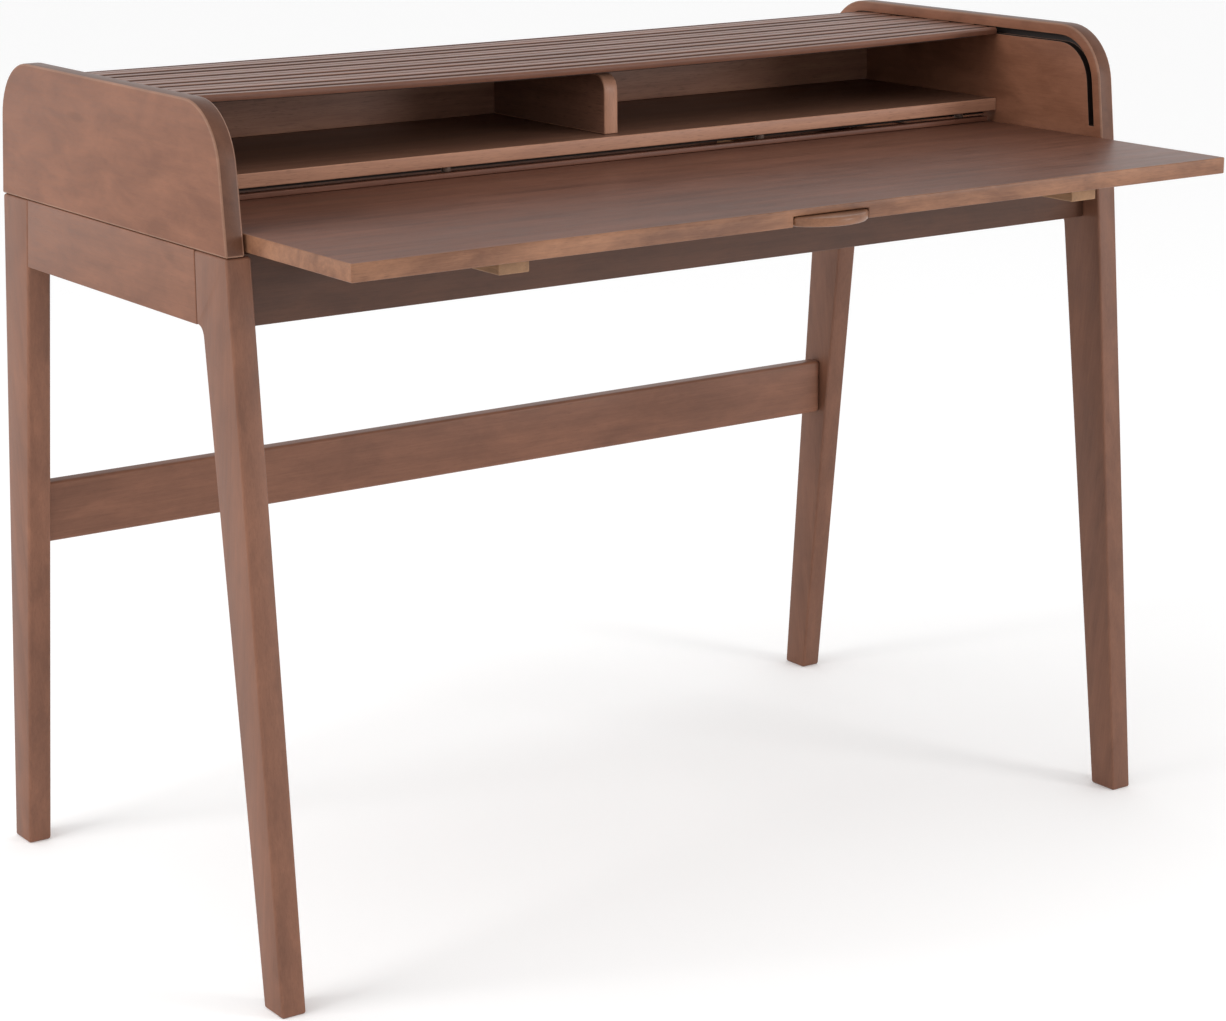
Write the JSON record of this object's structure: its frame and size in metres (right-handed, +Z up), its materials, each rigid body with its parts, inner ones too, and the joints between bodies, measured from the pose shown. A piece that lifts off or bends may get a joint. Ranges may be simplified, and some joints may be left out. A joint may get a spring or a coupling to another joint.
{
  "type": "roll top desk",
  "caption": "Wooden roll top desk with a slatted curtain in grooved side panels, a pull-out writing surface over a divided shelf, and splayed legs.",
  "frame": {"origin": "on the floor below the middle of the overall box, which runs from the tip of the lip pull to the rear feet with the writing surface pulled out", "axes": "+X to the desk's right seen from the front, -Y towards the person sitting at it, +Z up"},
  "size_m": [1.1, 0.756, 0.858],
  "materials": {
    "panel_wood": "satin lacquer, grain along the depth",
    "frame_wood": "satin lacquer, grain along each piece",
    "surface_wood": "satin lacquer, worn from writing",
    "slat_wood": "satin lacquer, grain along the slats",
    "interior_wood": "thin satin lacquer",
    "runner_wood": "bare, waxed",
    "raw_wood": "bare, sawn",
    "steel": "zinc plated",
    "nylon": "matte"
  },
  "bodies": {
    "frame": {"left_side_panel": "panel_wood", "right_side_panel": "panel_wood", "front_left_leg": "frame_wood", "front_right_leg": "frame_wood", "rear_left_leg": "frame_wood", "rear_right_leg": "frame_wood", "side_apron_left": "frame_wood", "side_apron_right": "frame_wood", "front_apron": "frame_wood", "rear_apron": "frame_wood", "rear_stretcher": "frame_wood", "corner_block_front_left": "raw_wood", "corner_block_rear_left": "raw_wood", "corner_block_front_right": "raw_wood", "corner_block_rear_right": "raw_wood", "corner_bolt_front_left": "steel", "corner_bolt_rear_left": "steel", "corner_bolt_front_right": "steel", "corner_bolt_rear_right": "steel", "runner_bearer_left": "runner_wood", "runner_bearer_right": "runner_wood", "shelf": "interior_wood", "inner_back_panel": "interior_wood", "divider": "interior_wood", "dust_board": "interior_wood", "outer_back_panel": "panel_wood", "shelf_glide_1": "nylon", "shelf_glide_2": "nylon", "shelf_glide_3": "nylon", "shelf_glide_4": "nylon", "rear_slat_1": "slat_wood", "rear_slat_2": "slat_wood", "rear_slat_3": "slat_wood", "shelf_rail": "interior_wood"},
    "writing_surface": {"writing_surface": "surface_wood", "lip_pull": "surface_wood", "rear_bead": "surface_wood", "runner_left": "runner_wood", "runner_right": "runner_wood", "pull_out_stop_left": "raw_wood", "pull_out_stop_right": "raw_wood"},
    "curtain": {"flat_slat_1": "slat_wood", "flat_slat_2": "slat_wood", "flat_slat_3": "slat_wood", "flat_slat_4": "slat_wood", "flat_slat_5": "slat_wood", "flat_slat_6": "slat_wood"},
    "bend_1": {"bend_slat_1": "slat_wood"},
    "bend_2": {"bend_slat_2": "slat_wood"},
    "bend_3": {"bend_slat_3": "slat_wood"},
    "curtain_nose": {"nose_slat_1": "slat_wood", "nose_slat_2": "slat_wood", "leading_rail": "slat_wood"}
  },
  "joints": [
    {"name": "surface_slide", "type": "slide", "parent": "frame", "child": "writing_surface", "axis": [0, 1, 0], "range_m": [0, 0.2]},
    {"name": "curtain_slide", "type": "slide", "parent": "frame", "child": "curtain", "axis": [0, -1, 0], "range_m": [0, 0.22551]},
    {"name": "bend_hinge_1", "type": "hinge", "parent": "curtain", "child": "bend_1", "pos_m": [0, 0.12983, 0.8386], "axis": [1, 0, 0], "range_deg": [0, 14.03]},
    {"name": "bend_hinge_2", "type": "hinge", "parent": "bend_1", "child": "bend_2", "pos_m": [0, 0.10828, 0.8386], "axis": [1, 0, 0], "range_deg": [0, 28.02]},
    {"name": "bend_hinge_3", "type": "hinge", "parent": "bend_2", "child": "bend_3", "pos_m": [0, 0.08673, 0.8386], "axis": [1, 0, 0], "range_deg": [0, 28.02]},
    {"name": "nose_hinge", "type": "hinge", "parent": "bend_3", "child": "curtain_nose", "pos_m": [0, 0.06517, 0.8386], "axis": [1, 0, 0], "range_deg": [0, 14.03]}
  ],
  "couplings": [
    {"joint": "bend_hinge_1", "follows": "curtain_slide", "rad_per_m": 1.0822},
    {"joint": "bend_hinge_2", "follows": "curtain_slide", "rad_per_m": 2.1645},
    {"joint": "bend_hinge_3", "follows": "curtain_slide", "rad_per_m": 2.1645},
    {"joint": "nose_hinge", "follows": "curtain_slide", "rad_per_m": 1.0822}
  ]
}
